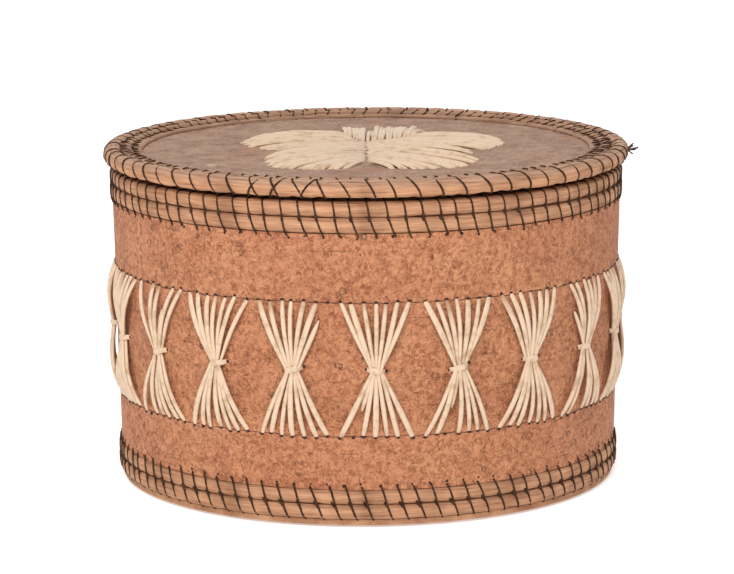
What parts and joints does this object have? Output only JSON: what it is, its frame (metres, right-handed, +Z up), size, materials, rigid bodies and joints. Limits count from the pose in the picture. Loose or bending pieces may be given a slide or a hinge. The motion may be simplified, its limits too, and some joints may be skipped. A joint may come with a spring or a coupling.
{
  "type": "tea caddy",
  "caption": "Round lidded tea caddy of birch bark with porcupine-quill fans on its wall, a quill flower on its lift-off lid and grass rims sewn with dark thread.",
  "frame": {"origin": "centre of the flat underside of the base, where the box stands", "axes": "+Z up along the box's axis; -Y towards the front, with a fan 1.8 degrees right of it; X to the right"},
  "size_m": [0.157, 0.157, 0.1007],
  "materials": {
    "wall_bark": "matt, wrinkled outer face of birch bark",
    "inner_bark": "matt, smooth inner face of birch bark",
    "lid_bark": "matt, rough and duller than the wall",
    "grass": "matt, dried grass stalks",
    "thread": "matt, waxed dark thread",
    "quill": "smooth, slightly glossy keratin"
  },
  "bodies": {
    "box": {"base_disc": "inner_bark", "base_lining": "inner_bark", "outer_wall": "wall_bark", "wall_lining": "inner_bark", "foot_row_lower": "grass", "foot_row_upper": "grass", "mouth_row_lower": "grass", "mouth_row_upper": "grass", "foot_thread": "thread", "mouth_thread": "thread", "wall_seam_thread": "thread", "quill_fan_01": "quill", "quill_fan_02": "quill", "quill_fan_03": "quill", "quill_fan_04": "quill", "quill_fan_05": "quill", "quill_fan_06": "quill", "quill_fan_07": "quill", "quill_fan_08": "quill", "quill_fan_09": "quill", "quill_fan_10": "quill", "quill_fan_11": "quill", "quill_fan_12": "quill", "quill_fan_13": "quill", "quill_fan_14": "quill", "quill_fan_15": "quill", "quill_fan_16": "quill", "quill_fan_17": "quill", "quill_fan_18": "quill", "quill_fan_19": "quill", "quill_fan_20": "quill", "waist_bands": "quill"},
    "lid": {"lid_disc": "lid_bark", "lid_lining": "inner_bark", "lid_collar": "inner_bark", "lid_edge_row": "grass", "lid_middle_row": "grass", "lid_inner_row": "grass", "lid_edge_thread": "thread", "lid_inner_thread": "thread", "petal_front_left": "quill", "petal_front_right": "quill", "petal_left": "quill", "petal_right": "quill", "petal_back_left": "quill", "petal_back_right": "quill"}
  },
  "joints": [
    {"name": "lid_lift", "type": "slide", "parent": "box", "child": "lid", "axis": [0, 0, 1], "range_m": [0, 0.06]}
  ]
}
